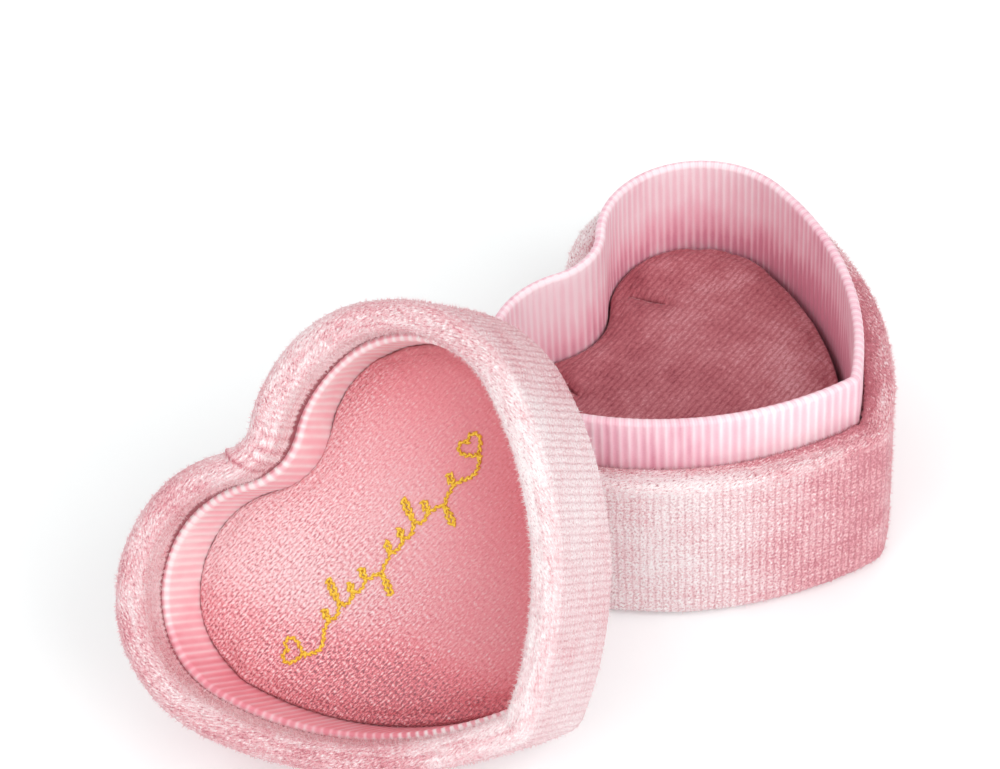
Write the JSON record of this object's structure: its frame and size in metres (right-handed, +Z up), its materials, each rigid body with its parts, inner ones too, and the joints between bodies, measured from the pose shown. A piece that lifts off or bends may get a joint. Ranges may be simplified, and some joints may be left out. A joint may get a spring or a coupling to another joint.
{
  "type": "jewelry box",
  "caption": "Heart-shaped velvet jewelry box with a ribbon-covered collar, a slit pad and a lift-off lid leaning open against its side.",
  "frame": {"origin": "on the base's flat underside, half-way between the centres of the heart's two lobes", "axes": "+Z up through the base, +Y from the heart's tip towards its notch; the lid leans on the -X side"},
  "size_m": [0.1219, 0.075, 0.0618],
  "materials": {
    "velvet": "crushed rib velvet",
    "pad_velvet": "velvet",
    "panel_velvet": "velvet",
    "base_ribbon": "grosgrain, soft sheen",
    "lid_ribbon": "grosgrain, soft sheen",
    "board": "grey paperboard, matt",
    "foam": "open-cell foam",
    "thread": "metallic gold thread"
  },
  "bodies": {
    "base": {"base_underside_velvet": "velvet", "base_bottom_board": "board", "base_wall_board": "board", "base_wall_foam": "foam", "base_wall_velvet": "velvet", "base_collar_card": "board", "base_collar_ribbon": "base_ribbon"},
    "pad": {"pad_card": "board", "pad_foam": "foam", "pad_velvet": "pad_velvet"},
    "lid": {"lid_top_velvet": "velvet", "lid_top_foam": "foam", "lid_top_board": "board", "lid_wall_board": "board", "lid_wall_foam": "foam", "lid_wall_velvet": "velvet", "lid_collar_card": "board", "lid_collar_ribbon": "lid_ribbon", "lid_panel_card": "board", "lid_panel_foam": "foam", "lid_panel_velvet": "panel_velvet", "lid_embroidery": "thread"}
  },
  "joints": [
    {"name": "lid_lift", "type": "slide", "parent": "base", "child": "lid", "axis": [0, 0, 1], "range_m": [0, 0.06]},
    {"name": "pad_lift", "type": "slide", "parent": "base", "child": "pad", "axis": [0, 0, 1], "range_m": [0, 0.016]}
  ]
}
